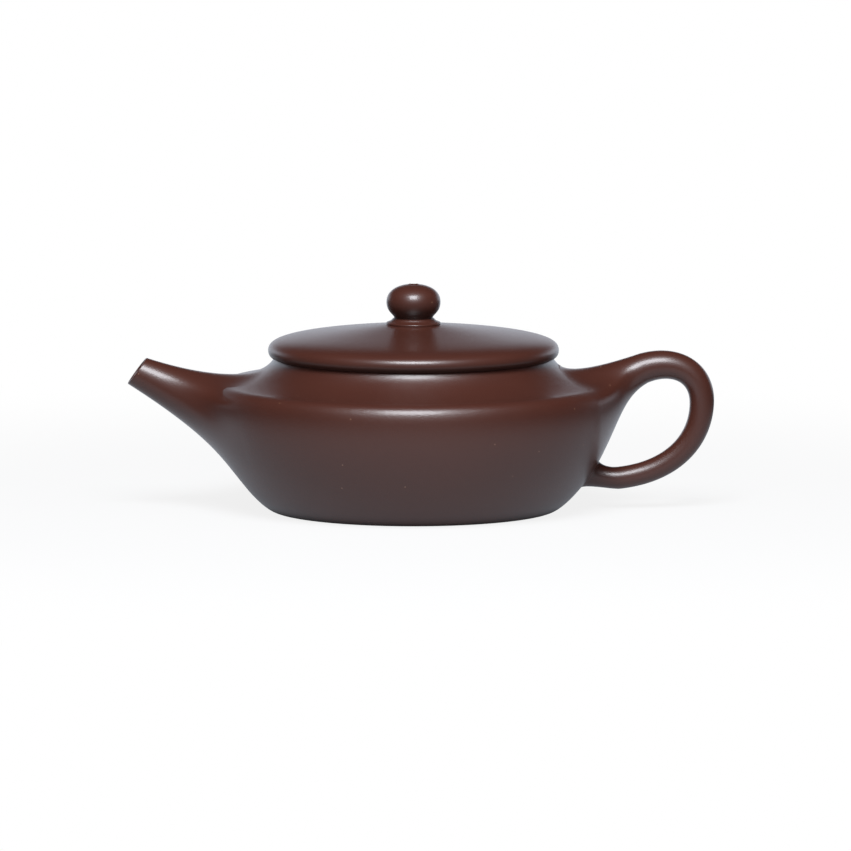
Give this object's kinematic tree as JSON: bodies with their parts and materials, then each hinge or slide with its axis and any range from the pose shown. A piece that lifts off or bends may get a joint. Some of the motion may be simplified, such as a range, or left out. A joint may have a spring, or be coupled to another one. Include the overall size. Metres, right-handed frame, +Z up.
{
  "type": "teapot",
  "caption": "Low, round unglazed clay teapot with a short tapered spout, a loop handle and a flat domed lid with a ball knob that lifts off.",
  "frame": {"origin": "on the pot's vertical axis, in the plane that it stands on", "axes": "+Z is up, +X points to the handle and -X to the spout; the picture looks along +Y"},
  "size_m": [0.1583, 0.1096, 0.0613],
  "materials": {
    "pot_clay": "satin",
    "inner_clay": "matte"
  },
  "bodies": {
    "pot": {"base_disc": "pot_clay", "body_wall": "pot_clay", "shoulder_disc": "pot_clay", "mouth_ring": "pot_clay", "spout": "pot_clay", "spout_strainer": "inner_clay", "handle": "pot_clay"},
    "lid": {"lid_disc": "pot_clay", "lid_flange": "inner_clay", "knob_collar": "pot_clay", "knob": "pot_clay"}
  },
  "joints": [
    {"name": "lid_lift", "type": "slide", "parent": "pot", "child": "lid", "axis": [0, 0, 1], "range_m": [0, 0.06]}
  ]
}
